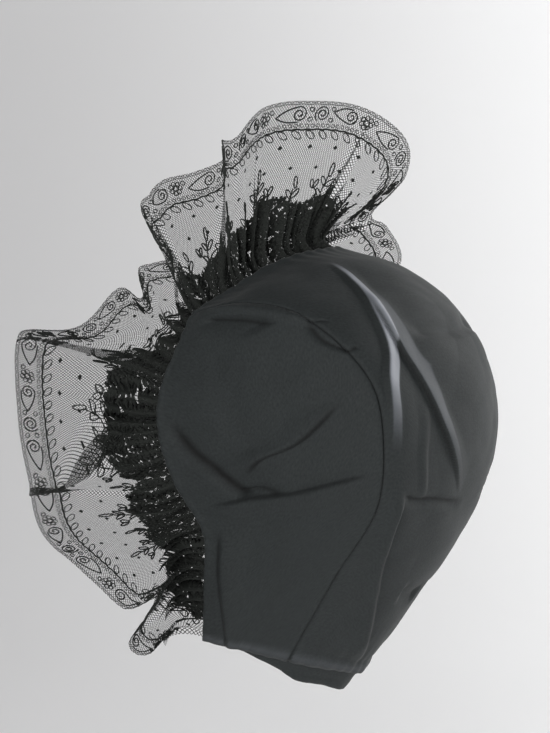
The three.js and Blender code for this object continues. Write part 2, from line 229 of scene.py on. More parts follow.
def smooth_line(knots, where):
    """A smooth line through knots[k, ..., 3], read at positions counted in knots.

    Each span is a cubic. Its end slopes come from the neighbouring knots, weighted by the square roots of the
    distances between them, and the line runs straight on past both ends.
    """
    first = 2 * knots[:1] - knots[1:2]
    last = 2 * knots[-1:] - knots[-2:-1]
    padded = np.concatenate([first, knots, last])
    span = np.clip(np.floor(where).astype(int), 0, len(knots) - 2)
    a, b, c, d = (padded[span + k] for k in range(4))
    f = (where - span).reshape((-1,) + (1,) * (knots.ndim - 1))
    spans = ((a, b), (b, c), (c, d))
    near, mid, far = (np.sqrt(np.linalg.norm(q - p, axis=-1, keepdims=True)) for p, q in spans)
    mid = np.where(mid < 1e-4, 1.0, mid)
    near = np.where(near < 1e-4, mid, near)
    far = np.where(far < 1e-4, mid, far)
    start = mid * ((b - a) / near - (c - a) / (near + mid) + (c - b) / mid)
    stop = mid * ((c - b) / mid - (d - b) / (mid + far) + (d - c) / far)
    return b + f * (start + f * (3 * (c - b) - 2 * start - stop + f * (2 * (b - c) + start + stop)))


def cap_base(u, t):
    """Middle surface of the silk before folds, for every pair of u and t: points[u, t].

    The four lines of the section table are read at t and carried across by a second smooth line from the left
    face edge (u = 3) over the ridge (u = 0) to the right face edge (u = -3).
    """
    lines = smooth_line(SECTIONS, np.asarray(t, float) * (len(SECTIONS) - 1))
    left = lines.transpose(1, 0, 2)
    right = left[2::-1] * (-1, 1, 1)
    return smooth_line(np.concatenate([left, right]), 3 - np.asarray(u, float))


def cap_normal(u, t):
    """Outward normals of the unfolded surface at pairs of u and t, one for each pair."""
    step = 0.02
    held = np.clip(t, 0.03 + step, 1 - step)
    pick = np.arange(len(u))
    along = (cap_base(u, held + step) - cap_base(u, held - step))[pick, pick]
    across = (cap_base(np.minimum(u + step, 3), held) - cap_base(np.maximum(u - step, -3), held))[pick, pick]
    return unit(np.cross(across, along))


def crease_place(u, t, crease):
    """Where arrays u and t lie beside a crease: distance, side (above 0 toward the ridge), share along it."""
    across = np.array(crease["u"]) * ACROSS
    down = np.array(crease["t"]) * ALONG
    knots = np.stack([across, down, np.zeros(len(down))], -1)
    line = smooth_line(knots, np.linspace(0, len(knots) - 1, 6 * len(knots)))[:, :2]
    place = np.stack([np.abs(u) * ACROSS, t * ALONG], -1)
    gap = np.full(u.shape, np.inf)
    side = np.zeros(u.shape)
    along = np.zeros(u.shape)
    for k, (head, tail) in enumerate(zip(line[:-1], line[1:])):
        run = tail - head
        off = place - head
        share = np.clip(off @ run / (run @ run), 0, 1)
        distance = np.linalg.norm(off - share[..., None] * run, axis=-1)
        closer = distance < gap
        gap = np.where(closer, distance, gap)
        side = np.where(closer, run[0] * off[..., 1] - run[1] * off[..., 0], side)
        along = np.where(closer, (k + share) / (len(line) - 1), along)
    return gap, side, along


def crease_share(u, along, crease, start=CREASE_END, stop=CREASE_END):
    """Share of a crease's full strength: it runs out toward both ends and is weaker on the right half."""
    ends = smooth(along / start) * smooth((1 - along) / stop)
    return ends * np.where(u < 0, crease["right"], 1)


def crease_height(u, t, crease):
    """Height of one crease over arrays u and t: it falls off on both sides of its line."""
    gap, side, along = crease_place(u, t, crease)
    fall = 1 - gap / np.where(side > 0, crease["easy"], crease["steep"])
    return crease["height"] * crease_share(u, along, crease) * smooth(fall)


def painted_shade_share(u, t):
    """Painted shade at each place: a narrow line of it in every valley and at the foot of every narrow slope.
    """
    total = np.zeros(u.shape)
    for crease in CREASES:
        gap, side, along = crease_place(u, t, crease)
        narrow = min(crease["easy"], crease["steep"])
        foot = 0.6 * narrow * (crease["height"] > 0) * (1 if crease["easy"] < crease["steep"] else -1)
        offset = np.where(side > 0, gap, -gap) - foot
        width = np.clip(0.35 * narrow, *PAINTED_SHADE_WIDTH)
        line = np.exp(-((offset / width) ** 2))
        total = total + crease["painted_shade"] * crease_share(u, along, crease) * line
    return np.clip(total, 0, 1)


def painted_sheen_share(u, t):
    """How strongly painted sheen lightens each place: full beside a pleat's crest, fading down its easy
    slope.
    """
    total = np.zeros(u.shape)
    for mark in PAINTED_SHEEN:
        crease = CREASES[mark["crease"]]
        gap, side, along = crease_place(u, t, crease)
        width = np.interp(along, (0, 0.5, 1), mark["widths"])
        inside = np.where(side > 0, gap, -gap)
        fade = smooth((inside + 0.8) / 1.6) * smooth((width - inside) / (0.2 * width) + 0.5)
        total = total + mark["strength"] * fade * crease_share(u, along, crease, 0.15, 0.3)
    return np.clip(total, 0, 1)


def soft_waves(points, length, seed):
    """Seeded undulation of about unit height: a mean of plane waves of about one length in all directions."""
    rng = np.random.default_rng(seed)
    ways = unit(rng.normal(size=(WAVES, 3))) * (2 * math.pi / length) * rng.uniform(0.7, 1.4, (WAVES, 1))
    return np.sin(points @ ways.T + rng.uniform(0, 2 * math.pi, WAVES)).mean(-1) * 2


def grid_normals(points):
    """Normals of points[i, j]: the cross product of the steps along i and along j."""
    return unit(np.cross(np.gradient(points, axis=0), np.gradient(points, axis=1)))


def grid_lengths(points):
    """Distances along both ways of points[i, j], each from its middle line's start, as cloth coordinates."""
    across = np.linalg.norm(np.diff(points, axis=0), axis=-1)
    along = np.linalg.norm(np.diff(points, axis=1), axis=-1)
    x = np.concatenate([np.zeros((1, points.shape[1])), np.cumsum(across, 0)])
    y = np.concatenate([np.zeros((points.shape[0], 1)), np.cumsum(along, 1)], 1)
    middle = x[len(x) // 2]
    return x - middle, y


def silk_grid(u, t):
    """Silk over a grid of u and t: the middle surface, then creases, seam and hem forms along its normal.

    Returns the points, their cloth coordinates and their painted light: above 0 painted sheen and highlight,
    below 0 painted shade.
    """
    base = cap_base(u, t)
    normal = grid_normals(base)
    uu, tt = np.meshgrid(u, t, indexing="ij")
    heights = [crease_height(uu, tt, crease) for crease in CREASES]
    x, y = grid_lengths(base)
    step = np.linalg.norm(np.gradient(base, axis=0), axis=-1) / np.abs(np.gradient(u))[:, None]
    on_panel = np.abs(uu) > 2
    seam = (np.abs(uu) - 2) * step
    hem = (1 - tt) * ALONG
    edge = np.where(on_panel, (3 - np.abs(uu)) * step, tt * ALONG)
    fine = seam_form(seam, y) + hem_form(hem, x) + edge_form(edge, np.where(on_panel, y, x))
    soft = 0.8 * soft_waves(base, 46, 5) + 0.2 * soft_waves(base, 17, 9)
    soft = soft + 0.6 * np.abs(soft_waves(base, 60, 3))
    points = base + normal * (sum(heights) + fine + soft)[..., None]
    # Painted light in the colour: a painted highlight along the hem bead and painted shade along the seam
    # ditch, with the painted sheen and painted shade of the creases.
    rolled = 0.12 * np.exp(-(((hem - 2.5) / 2) ** 2))
    sewn = 0.5 * np.exp(-((seam / 0.9) ** 2))
    return points, np.stack([x, y], -1), painted_sheen_share(uu, tt) + rolled - painted_shade_share(uu, tt) - sewn


def seam_form(gap, run):
    """The seam: a narrow ditch with small puckers beside it."""
    ditch = -(0.55 + 0.3 * np.sin(run * 0.021 + 0.6)) * np.exp(-((gap / 1.1) ** 2))
    swell = 0.12 * np.exp(-(((np.abs(gap) - 3.0) / 2.2) ** 2))
    pucker = 0.12 * np.exp(-((gap / 6) ** 2)) * np.sin(run * 0.83 + 1.7 * np.sin(run * 0.11))
    return ditch + swell + pucker


def hem_form(gap, run):
    """A rolled hem: a low bead at the edge and a stitched line inside it."""
    bead = 0.7 * np.exp(-(((gap - 2.5) / 2.2) ** 2))
    line = -0.5 * np.exp(-(((gap - 6.5) / 1.0) ** 2))
    pucker = 0.3 * np.exp(-gap / 9) * np.sin(run * 0.71 + 1.3 * np.sin(run * 0.13))
    return bead + line + pucker


def edge_form(gap, run):
    """The face edge, drawn up a little by the gathers sewn behind it."""
    bead = 0.4 * np.exp(-(((gap - 1.8) / 1.8) ** 2))
    pucker = 0.35 * np.exp(-gap / 9) * np.sin(run * 0.62 + 2.1 * np.sin(run * 0.09))
    return bead + pucker


# Meshes

def mesh_piece(name, points, faces, node, slot, material, uv=None, painted_light=None):
    """A piece from points in millimetres and faces, riding on the part and shown in place of a solid."""
    mesh = bpy.data.meshes.new(name)
    mesh.from_pydata((points * MM).tolist(), [], faces)
    mesh.polygons.foreach_set("use_smooth", np.ones(len(mesh.polygons), bool))
    if uv is not None:
        layer = mesh.uv_layers.new(name="cloth")
        layer.data.foreach_set("uv", (uv[np.ravel(faces)] * MM).astype(np.float32).ravel())
    if painted_light is not None:
        # A point attribute carrying painted light for the silk colour: painted sheen above 0, painted shade
        # below 0.
        attribute = mesh.attributes.new("painted_light", "FLOAT", "POINT")
        attribute.data.foreach_set("value", painted_light.astype(np.float32).ravel())
    mesh.materials.append(material)
    piece = bpy.data.objects.new(name, mesh)
    bpy.context.scene.collection.objects.link(piece)
    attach(piece, "root")
    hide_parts(node)
    return piece


def grid_faces(columns, rows):
    """Quads of a grid of points counted column by column."""
    i, j = np.meshgrid(np.arange(columns - 1), np.arange(rows - 1), indexing="ij")
    corner = (i * rows + j).ravel()
    return np.stack([corner, corner + rows, corner + rows + 1, corner + 1], -1).tolist()


def silk_piece(name, points, uv, painted_light, material):
    """A silk piece with a wall, its outer face at the given points moved out by half the wall."""
    outer = points + grid_normals(points) * SILK_WALL / 2
    faces = grid_faces(*points.shape[:2])
    cloth = (uv.reshape(-1, 2), painted_light.ravel())
    piece = mesh_piece(name, outer.reshape(-1, 3), faces, name, "black_silk", material, *cloth)
    wall = piece.modifiers.new("wall", "SOLIDIFY")
    wall.thickness = SILK_WALL * MM
    wall.offset = -1
    return piece


def band_grid():
    """The nape band: it follows the neck hem inside the crown and hangs below it."""
    u = np.linspace(-BAND_REACH, BAND_REACH, BAND_COLUMNS)
    strip = cap_base(u, np.array([0.96, 0.98, 1.0]))
    hem = strip[:, 2]
    down = unit(strip[:, 2] - strip[:, 0])
    inward = -grid_normals(strip)[:, 1]
    share = np.linspace(0, 1, BAND_ROWS)
    depth = BAND_DROP * smooth((BAND_REACH - np.abs(u)) / BAND_TAPER + BAND_END)
    fall = -BAND_TUCK + (BAND_TUCK + depth)[:, None] * share
    run = np.concatenate([[0], np.cumsum(np.linalg.norm(np.diff(hem, axis=0), axis=-1))])
    slack = 0.5 * np.sin(run * 0.19)[:, None] * share + 0.25 * hem_form(depth[:, None] - fall, run[:, None])
    inset = (BAND_INSET - slack)[..., None]
    points = hem[:, None] + inward[:, None] * inset + down[:, None] * fall[..., None]
    uv = np.stack(np.broadcast_arrays(run[:, None], fall), -1)
    return points, uv, np.zeros(points.shape[:2])


# Lace surface

def face_edge():
    """The face edge from the left neck corner over the top to the right one: points, normals and run."""
    side = np.linspace(1, 0, EDGE_SIDE + 1)[:-1]
    brow = np.linspace(2, -2, EDGE_BROW)
    u = np.concatenate([np.full(EDGE_SIDE, 3.0), brow, np.full(EDGE_SIDE, -3.0)])
    t = np.concatenate([side, np.zeros(EDGE_BROW), side[::-1] + side[-1]])
    pick = np.arange(len(u))
    normal = cap_normal(u, t)
    height = sum(crease_height(u, t, crease) for crease in CREASES)
    points = cap_base(u, t)[pick, pick] + normal * height[:, None]
    run = np.concatenate([[0], np.cumsum(np.linalg.norm(np.diff(points, axis=0), axis=-1))])
    return points, normal, run


EDGE_POINTS, EDGE_NORMALS, EDGE_RUN = face_edge()
EDGE_HALF = EDGE_RUN[-1] / 2


def along_edge(values, run):
    """Values of the face edge at distances along it."""
    return np.stack([np.interp(run, EDGE_RUN, values[:, k]) for k in range(3)], -1)


def edge_frame(base):
    """Frame on the face edge at distances from its top: point, tangent to the right, normal and way out."""
    run = np.clip(EDGE_HALF - base, 0, 2 * EDGE_HALF)
    step = 9
    tangent = unit(along_edge(EDGE_POINTS, run + step) - along_edge(EDGE_POINTS, run - step))
    normal = sum(along_edge(EDGE_NORMALS, run + shift * step) for shift in (-2, -1, 0, 1, 2))
    normal = unit(normal - (normal * tangent).sum(-1, keepdims=True) * tangent)
    return along_edge(EDGE_POINTS, run), tangent, normal, unit(np.cross(normal, tangent))


def fold_values(base):
    """Swing, lift and reach at distances along the face edge, smooth between the rows of the fold table."""
    row = np.interp(-base, -FOLDS[:, 0], np.arange(len(FOLDS)))
    i = np.clip(row.astype(int), 0, len(FOLDS) - 2)
    f = (row - i)[:, None]
    a, b, c, d = (FOLDS[np.clip(i + k, 0, len(FOLDS) - 1), 1:] for k in (-1, 0, 1, 2))
    bend = 2 * a - 5 * b + 4 * c - d + f * (3 * (b - c) + d - a)
    swing, lift, reach = (b + 0.5 * f * (c - a + f * bend)).T
    return np.radians(swing), np.radians(lift), reach


def gather_height(distance):
    """Height of the main gathers at a distance from the sewn edge."""
    rise = GATHER_ROOT + (GATHER_FULL - GATHER_ROOT) * smooth(distance / GATHER_PEAK)
    fade = 1 - smooth((distance - GATHER_PEAK) / (GATHER_FADE - GATHER_PEAK))
    return rise * fade


def lace_surface(base, rows):
    """Lace from the sewn edge to the border, points[base, row], before tucks, and the reach at each base.

    Each column leaves the face edge along the silk, then turns by its lift toward the normal and by its swing
    along the edge. Main gathers and finer pleats push it sideways and fade toward the border.
    """
    point, tangent, normal, out = (v[:, None] for v in edge_frame(base))
    swing, lift, reach = fold_values(base)
    distance = reach[:, None] * np.linspace(0, 1, rows)
    turn = smooth((distance - BEND_START) / BEND_LENGTH)
    rise = (lift[:, None] * turn)[..., None]
    lean = (swing[:, None] * turn)[..., None]
    heading = np.cos(lean) * (np.cos(rise) * out + np.sin(rise) * normal) + np.sin(lean) * tangent
    steps = heading[:, 1:] * (distance[:, 1:] - distance[:, :-1])[..., None]
    start = point - ROOT_INSET * out - ROOT_DEPTH * normal
    places = np.concatenate([start, start + np.cumsum(steps, 1)], 1)
    side = np.cos(rise) * normal - np.sin(rise) * out
    wander = 2.2 * np.sin(base * 0.071) + 1.6 * np.sin(base * 0.163 + 2)
    fullness = (0.8 + 0.25 * np.sin(base * 0.117 + 1) + 0.2 * np.sin(base * 0.231))[:, None]
    gather = np.sin(np.pi * base * GATHERS / EDGE_HALF)[:, None] * gather_height(distance)
    pleat = np.sin(np.pi * base * PLEATS / EDGE_HALF + wander)[:, None]
    fade = 1 - smooth((distance - PLEAT_FULL) / (fullness * (PLEAT_FADE - PLEAT_FULL)))
    pleat = pleat * PLEAT_HEIGHT * fullness * smooth(distance / 13) * fade
    return places + side * (gather + pleat)[..., None], reach


def border_columns():
    """Places on the face edge whose columns stand evenly along the border, its length and its tucks."""
    base = np.linspace(EDGE_HALF, -EDGE_HALF, 6000)
    border = lace_surface(base, LACE_ROWS)[0][:, -1]
    run = np.concatenate([[0], np.cumsum(np.linalg.norm(np.diff(border, axis=0), axis=-1))])
    even = np.linspace(0, run[-1], LACE_COLUMNS)
    return np.interp(even, run, base), run[-1], np.interp(TUCKS[:, 0], base[::-1], run[::-1])


LACE_BASE, BORDER, TUCK_RUN = border_columns()
PLAIN_LACE, REACH = lace_surface(LACE_BASE, LACE_ROWS)


def on_grid(grid, s, w):
    """Values of a lace grid, between its points, at s along the border and w in from it in millimetres."""
    column = np.clip(s / BORDER, 0, 1) * (LACE_COLUMNS - 1)
    i = np.minimum(column.astype(int), LACE_COLUMNS - 2)
    f = (column - i)[..., None]
    reach = REACH[i] * (1 - f[..., 0]) + REACH[i + 1] * f[..., 0]
    row = np.clip(1 - w / reach, 0, 1) * (LACE_ROWS - 1)
    j = np.minimum(row.astype(int), LACE_ROWS - 2)
    g = (row - j)[..., None]
    near = grid[i, j] * (1 - g) + grid[i, j + 1] * g
    far = grid[i + 1, j] * (1 - g) + grid[i + 1, j + 1] * g
    return near * (1 - f) + far * f


def tucked_lace():
    """The lace with its tucks: beside each tuck line the cloth is drawn along until it doubles over."""
    s = np.linspace(0, BORDER, LACE_COLUMNS)[:, None] + np.zeros((1, LACE_ROWS))
    w = REACH[:, None] * np.linspace(1, 0, LACE_ROWS)
    normal = grid_normals(PLAIN_LACE)
    lift = np.zeros(s.shape)
    moved = s.copy()
    spread = np.clip((w - TUCK_START) / TUCK_OPEN, 0.04, 1)
    for run, (_, lean, width, double) in zip(TUCK_RUN, TUCKS):
        x = (s - run - lean * w) / (width * spread)
        curl = x * np.exp(-x * x) * spread
        moved = moved - double * curl
        lift = lift + 1.2 * curl
    ripple = 0.5 * soft_waves(PLAIN_LACE, 30, 21)
    return on_grid(PLAIN_LACE, moved, w) + normal * (lift + ripple)[..., None], np.stack([s, w], -1)


LACE, LACE_UV = tucked_lace()
LACE_NORMALS = grid_normals(LACE)


# Lace pattern: lines and pads in (s, w), laid on the lace

def joined(parts):
    """Points and faces of several parts as one."""
    counts = np.cumsum([0] + [len(points) for points, _ in parts[:-1]])
    points = np.concatenate([points for points, _ in parts])
    faces = [face for (_, own), count in zip(parts, counts) for face in (own + count).tolist()]
    return points, faces


def kept(shapes, margin):
    """The shapes[shape, point, (s, w)] that lie on the lace with a margin to its sewn edge."""
    reach = np.interp(shapes[..., 0], np.linspace(0, BORDER, LACE_COLUMNS), REACH)
    inside = (shapes[..., 1] < reach - margin) & (shapes[..., 0] > 0) & (shapes[..., 0] < BORDER)
    return shapes[inside.all(1)]


def cords(lines, radius, margin=4):
    """Four-sided cords with closed ends along lines[line, point, (s, w)]."""
    lines = kept(lines, margin)
    count, length = lines.shape[:2]
    points = on_grid(LACE, lines[..., 0], lines[..., 1])
    tangent = unit(np.gradient(points, axis=1))
    side = unit(np.cross(on_grid(LACE_NORMALS, lines[..., 0], lines[..., 1]), tangent))
    normal = np.cross(tangent, side)
    ring = points[:, :, None] + np.stack([normal, side, -normal, -side], 2) * radius
    m, p, k = np.meshgrid(np.arange(count), np.arange(length - 1), np.arange(4), indexing="ij")
    low = (m * length + p) * 4
    after = (k + 1) % 4
    wall = np.stack([low + k, low + 4 + k, low + 4 + after, low + after], -1).reshape(-1, 4)
    first = np.arange(count)[:, None] * length * 4 + np.arange(4)
    last = first[:, ::-1] + (length - 1) * 4
    return ring.reshape(-1, 3), np.concatenate([wall, first, last])


def pads(centres, long, short, turn, height, corners=6, margin=4):
    """Closed lens-shaped pads at centres[pad, (s, w)], oval with the given half sizes, turned by an angle."""
    around = np.arange(corners) * 2 * np.pi / corners
    x = long * np.cos(around)
    y = short * np.sin(around)
    turn = np.broadcast_to(turn, len(centres))[:, None]
    rim = np.stack([x * np.cos(turn) - y * np.sin(turn), x * np.sin(turn) + y * np.cos(turn)], -1)
    rim = kept(centres[:, None] + rim, margin)
    edge = on_grid(LACE, rim[..., 0], rim[..., 1])
    middle = rim.mean(1, keepdims=True)
    lift = unit(on_grid(LACE_NORMALS, middle[..., 0], middle[..., 1])) * height
    centre = on_grid(LACE, middle[..., 0], middle[..., 1])
    points = np.concatenate([edge, centre + lift, centre - lift], 1)
    k = np.arange(corners)
    top = np.stack([k, (k + 1) % corners, np.full(corners, corners)], -1)
    under = np.stack([(k + 1) % corners, k, np.full(corners, corners + 1)], -1)
    one = np.concatenate([top, under])
    faces = (np.arange(len(rim)) * (corners + 2))[:, None, None] + one
    return points.reshape(-1, 3), faces.reshape(-1, 3)


def repeated(shape, pitch, shift=0.0):
    """One shape[point, (s, w)] repeated along the border."""
    starts = np.arange(0, BORDER, pitch) + shift
    return shape[None] + np.stack([starts, np.zeros(len(starts))], -1)[:, None]


def spiral(x, w, outer, inner, turns, start):
    """A line that winds inward at an even rate round a centre, from the angle start."""
    f = np.linspace(0, 1, 30)
    angle = start + 2 * np.pi * turns * f
    radius = outer + (inner - outer) * f
    return np.stack([x + radius * np.cos(angle), w + radius * np.sin(angle)], -1)


def drop(x, w, length, radius, side):
    """A drop scroll as one line: from its tip along one flank, side 1 or -1, then curling inward."""
    flank = stem(x - length, w + side * 1.2, x, w - side * radius, side * 0.8)
    return np.concatenate([flank[:-1], spiral(x, w, radius, 0.7, side * 1.7, -side * np.pi / 2)])


def loop(x, w, long, short, turn, count):
    """A closed oval line with the given half sizes, turned by an angle."""
    around = np.linspace(0, 2 * np.pi, count)
    a = long * np.cos(around)
    b = short * np.sin(around)
    return np.stack([x + a * np.cos(turn) - b * np.sin(turn), w + a * np.sin(turn) + b * np.cos(turn)], -1)


def running(step, w, swing=0.0, period=1.0, shift=0.0):
    """One line along the whole border at depth w, waving by swing with the given period."""
    s = np.arange(2, BORDER - 2, step)
    return np.stack([s, w + swing * np.sin(2 * np.pi * (s / period + shift))], -1)[None]


def leaf_pair(x, w, turn, long=4.0, short=1.5):
    """Two leaf loops springing from one point of a stem, to the left and to the right."""
    left = loop(x - long * math.cos(turn), w - long * math.sin(turn), long, short, turn, 12)
    right = loop(x + long * math.cos(turn), w - long * math.sin(turn), long, short, -turn, 12)
    return [left, right]


def stem(x0, w0, x1, w1, bow):
    """A line between two places, bowed sideways in its middle."""
    f = np.linspace(0, 1, 12)
    length = math.hypot(x1 - x0, w1 - w0)
    swell = bow * np.sin(np.pi * f) / length
    return np.stack([x0 + (x1 - x0) * f + (w1 - w0) * swell, w0 + (w1 - w0) * f - (x1 - x0) * swell], -1)


def spray():
    """A leafy spray that rises from the flower ground toward the border, as lines of 12 points."""
    lines = [stem(0, 84, 0, 46, 1.5), stem(0, 68, -11, 53, -2.5), stem(0, 70, 11, 55, 2.5)]
    lines.append(loop(0.8, 41.5, 4.6, 1.6, 1.5, 12))
    lines.extend(leaf_pair(0.4, 52, 0.75))
    lines.extend(leaf_pair(0.4, 60, 0.65, 4.6))
    lines.extend(leaf_pair(-11, 54, 1.0, 3.2))
    lines.extend(leaf_pair(11, 56, 1.0, 3.2))
    return lines


def sprig():
    """A small sprig between two sprays."""
    return [stem(0, 70, 2, 54, 1.0), loop(2.6, 50, 4.0, 1.4, 1.3, 12), *leaf_pair(1.5, 60, 0.8)]


def rosette(x, w):
    """A ring of small rings round another."""
    around = np.arange(7) * 2 * np.pi / 7
    rings = [loop(x + 3.2 * math.cos(a), w + 3.2 * math.sin(a), 1.35, 1.35, 0, 9) for a in around]
    return [*rings, loop(x, w, 1.5, 1.5, 0, 9)]


def border_scrolls():
    """The band of drop scrolls, spirals and rosettes along the border, with a scalloped outer cord."""
    parts = [
        cords(running(0.62, 0.8, 0.5, 4.6), 0.2),
        cords(running(1.3, 2.1, 0.15, 9.0), 0.2),
        cords(repeated(drop(19, 8.2, 15, 4.7, 1), BORDER_REPEAT), CORD),
        cords(repeated(stem(4, 9.4, 19, 12.9, -1.6), BORDER_REPEAT), CORD),
        cords(repeated(spiral(34, 8.0, 5.2, 0.9, 2.1, 2.2), BORDER_REPEAT), CORD),
        cords(repeated(drop(55, 8.0, 13, 4.4, -1), BORDER_REPEAT), CORD),
        cords(repeated(stem(42, 6.8, 55, 3.6, 1.4), BORDER_REPEAT), CORD),
    ]
    small = [
        loop(26.4, 5.2, 1.6, 1.2, 0.5, 9),
        loop(26.4, 11.2, 1.6, 1.2, -0.5, 9),
        loop(41, 4.8, 1.5, 1.2, 0.4, 9),
        loop(41, 11.6, 1.6, 1.2, 0.3, 9),
        loop(1.2, 5.4, 1.6, 1.2, 0.7, 9),
        *rosette(65.5, 8.0),
    ]
    parts.extend(cords(repeated(line, BORDER_REPEAT), FINE_CORD) for line in small)
    return joined(parts)


def border_rib():
    """The inner edge of the border band: a heavy rib with eyelets outside it and leaf loops inside it."""
    parts = [
        cords(running(1.1, RIB, 0.25, 7.0), 0.55),
        cords(repeated(loop(0, RIB - 2.4, 1.4, 0.95, 0.5, 9), 3.7), 0.24),
        cords(repeated(loop(0, RIB + 3.2, 3.9, 1.7, 0.6, 14), LEAF_PITCH), FINE_CORD),
    ]
    return joined(parts)


def sprays():
    """Leafy sprays and sprigs on the net, and the small lozenge dots between them and the border."""
    large = np.concatenate([repeated(line, SPRAY_PITCH, 20) for line in spray()])
    small = np.concatenate([repeated(line, SPRAY_PITCH, 20 + SPRAY_PITCH / 2) for line in sprig()])
    rows = [repeated(np.array([[0.0, w]]), DOT_PITCH, shift)[:, 0] for w, shift in ((28, 3), (41, 13.5))]
    parts = [cords(large, CORD), cords(small, CORD)]
    parts.extend(pads(centres, 1.9, 1.4, 0.0, 0.3, 4) for centres in rows)
    return joined(parts)


def flower_ground():
    """The dense flower ground near the sewn edge: staggered flowers of five petals, every second one with a
    cord ring.
    """
    rng = np.random.default_rng(31)
    depth = np.arange(GROUND_TOP, GROUND_END, FLOWER_ROW)
    s, w = np.meshgrid(np.arange(3, BORDER - 3, FLOWER_PITCH), depth, indexing="ij")
    s = s + FLOWER_PITCH / 2 * (np.arange(len(depth)) % 2) + rng.uniform(-1.3, 1.3, s.shape)
    w = w - GROUND_WAVE * np.abs(np.sin(np.pi * s / SPRAY_PITCH)) + rng.uniform(-1.2, 1.2, s.shape)
    centre = np.stack([s.ravel(), w.ravel()], -1)
    turn = rng.uniform(0, 2 * np.pi, len(centre))
    parts = []
    for k in range(PETALS):
        angle = turn + k * 2 * np.pi / PETALS
        off = 2.3 * np.stack([np.cos(angle), np.sin(angle)], -1)
        parts.append(pads(centre + off, 1.95, 1.4, angle, 0.35, 6, 2))
    ring = np.stack([loop(0, 0, 3.6, 3.4, 0, 9)]) + centre[::2, None]
    parts.append(cords(ring, 0.2, 2))
    return joined(parts)


# Materials

class Wire:
    """A node's output that takes part in arithmetic: each operator adds a Math node."""

    def __init__(self, output):
        self.output = output

    def node(self, kind, settings, inputs, result=0):
        """Any node: its settings first, then its inputs by name or number, as values or wires."""
        tree = self.output.id_data
        made = tree.nodes.new(kind)
        for name, value in settings.items():
            setattr(made, name, value)
        for key, value in inputs.items():
            if isinstance(value, Wire):
                tree.links.new(value.output, made.inputs[key])
            else:
                made.inputs[key].default_value = value
        return Wire(made.outputs[result])

    def math(self, operation, *values):
        """One Math node on this wire and further values."""
        return self.node("ShaderNodeMath", {"operation": operation}, dict(enumerate((self, *values))))

    def __add__(self, other):
        return self.math("ADD", other)

    def __mul__(self, other):
        return self.math("MULTIPLY", other)

    def __sub__(self, other):
        return self.math("SUBTRACT", other)

    def __rsub__(self, other):
        return self * -1 + other

    __radd__ = __add__
    __rmul__ = __mul__

    def to(self, socket):
        """Links this wire to an input socket."""
        self.output.id_data.links.new(self.output, socket)


def new_material(name, roughness, sheen):
    """A material and its main shader with a cloth-like sheen."""
    made = bpy.data.materials.new(name)
    made.use_nodes = True
    shader = made.node_tree.nodes["Principled BSDF"]
    shader.inputs["Roughness"].default_value = roughness
    shader.inputs["Sheen Weight"].default_value = sheen
    shader.inputs["Sheen Roughness"].default_value = 0.45
    return made, shader


def cloth_wires(made):
    """The cloth's own coordinates in metres: both together, across and along."""
    uv = made.node_tree.nodes.new("ShaderNodeUVMap")
    uv.uv_map = "cloth"
    both = Wire(uv.outputs[0])
    split = both.node("ShaderNodeSeparateXYZ", {}, {0: both})
    return both, split, Wire(split.output.node.outputs[1])


def blend(factor, low, high):
    """A colour between two by a wire."""
    return factor.node("ShaderNodeMix", {"data_type": "RGBA"}, {0: factor, 6: low, 7: high}, 2)


def noise(place, scale, detail, roughness=0.5):
    """Soft noise from 0 to 1 at a place."""
    sockets = {"Vector": place, "Scale": scale, "Detail": detail, "Roughness": roughness}
    return place.node("ShaderNodeTexNoise", {}, sockets)


def silk_material():
    """Black silk: a fine weave with uneven threads and faint mottling, paler with painted sheen on the pleats
    and blacker with painted shade in the folds.
    """
    made, shader = new_material("black_silk", 0.7, 0.05)
    both, x, y = cloth_wires(made)
    weave = (x * 5200).math("SINE") * (y * 5200).math("SINE")
    slub_place = both.node("ShaderNodeCombineXYZ", {}, {0: x * 70, 1: y * 1500})
    slub = noise(slub_place, 1.0, 2.0)
    grain = noise(both, 620.0, 2.0)
    mottle = noise(both, 38.0, 4.0, 0.6)
    painted_light = both.node("ShaderNodeAttribute", {"attribute_name": "painted_light"}, {}, 2)
    # Painted light: painted sheen turns the colour toward pale grey, painted shade turns it toward black.
    pale = painted_light.math("MAXIMUM", 0.0) * (0.45 + 0.8 * mottle)
    painted_shade = (painted_light * -1).math("MAXIMUM", 0.0)
    tone = mottle * 0.4 + slub * 0.3 + grain * 1.1 - 0.4
    cloth = blend(tone, (0.0115, 0.0138, 0.0142, 1), (0.032, 0.0375, 0.038, 1))
    sheen_coloured = blend(pale, cloth, (0.29, 0.305, 0.34, 1))
    blend(painted_shade, sheen_coloured, (0.0015, 0.0018, 0.0018, 1)).to(shader.inputs["Base Color"])
    (0.66 + mottle * 0.12 + slub * 0.08 - pale * 0.3).to(shader.inputs["Roughness"])
    shader.inputs["Specular IOR Level"].default_value = 0.3
    height = weave * 0.05 + slub * 0.35 + grain * 0.3 + mottle * 0.6
    bump = both.node("ShaderNodeBump", {}, {"Strength": 0.4, "Distance": 0.0006, "Height": height})
    bump.to(shader.inputs["Normal"])
    return made


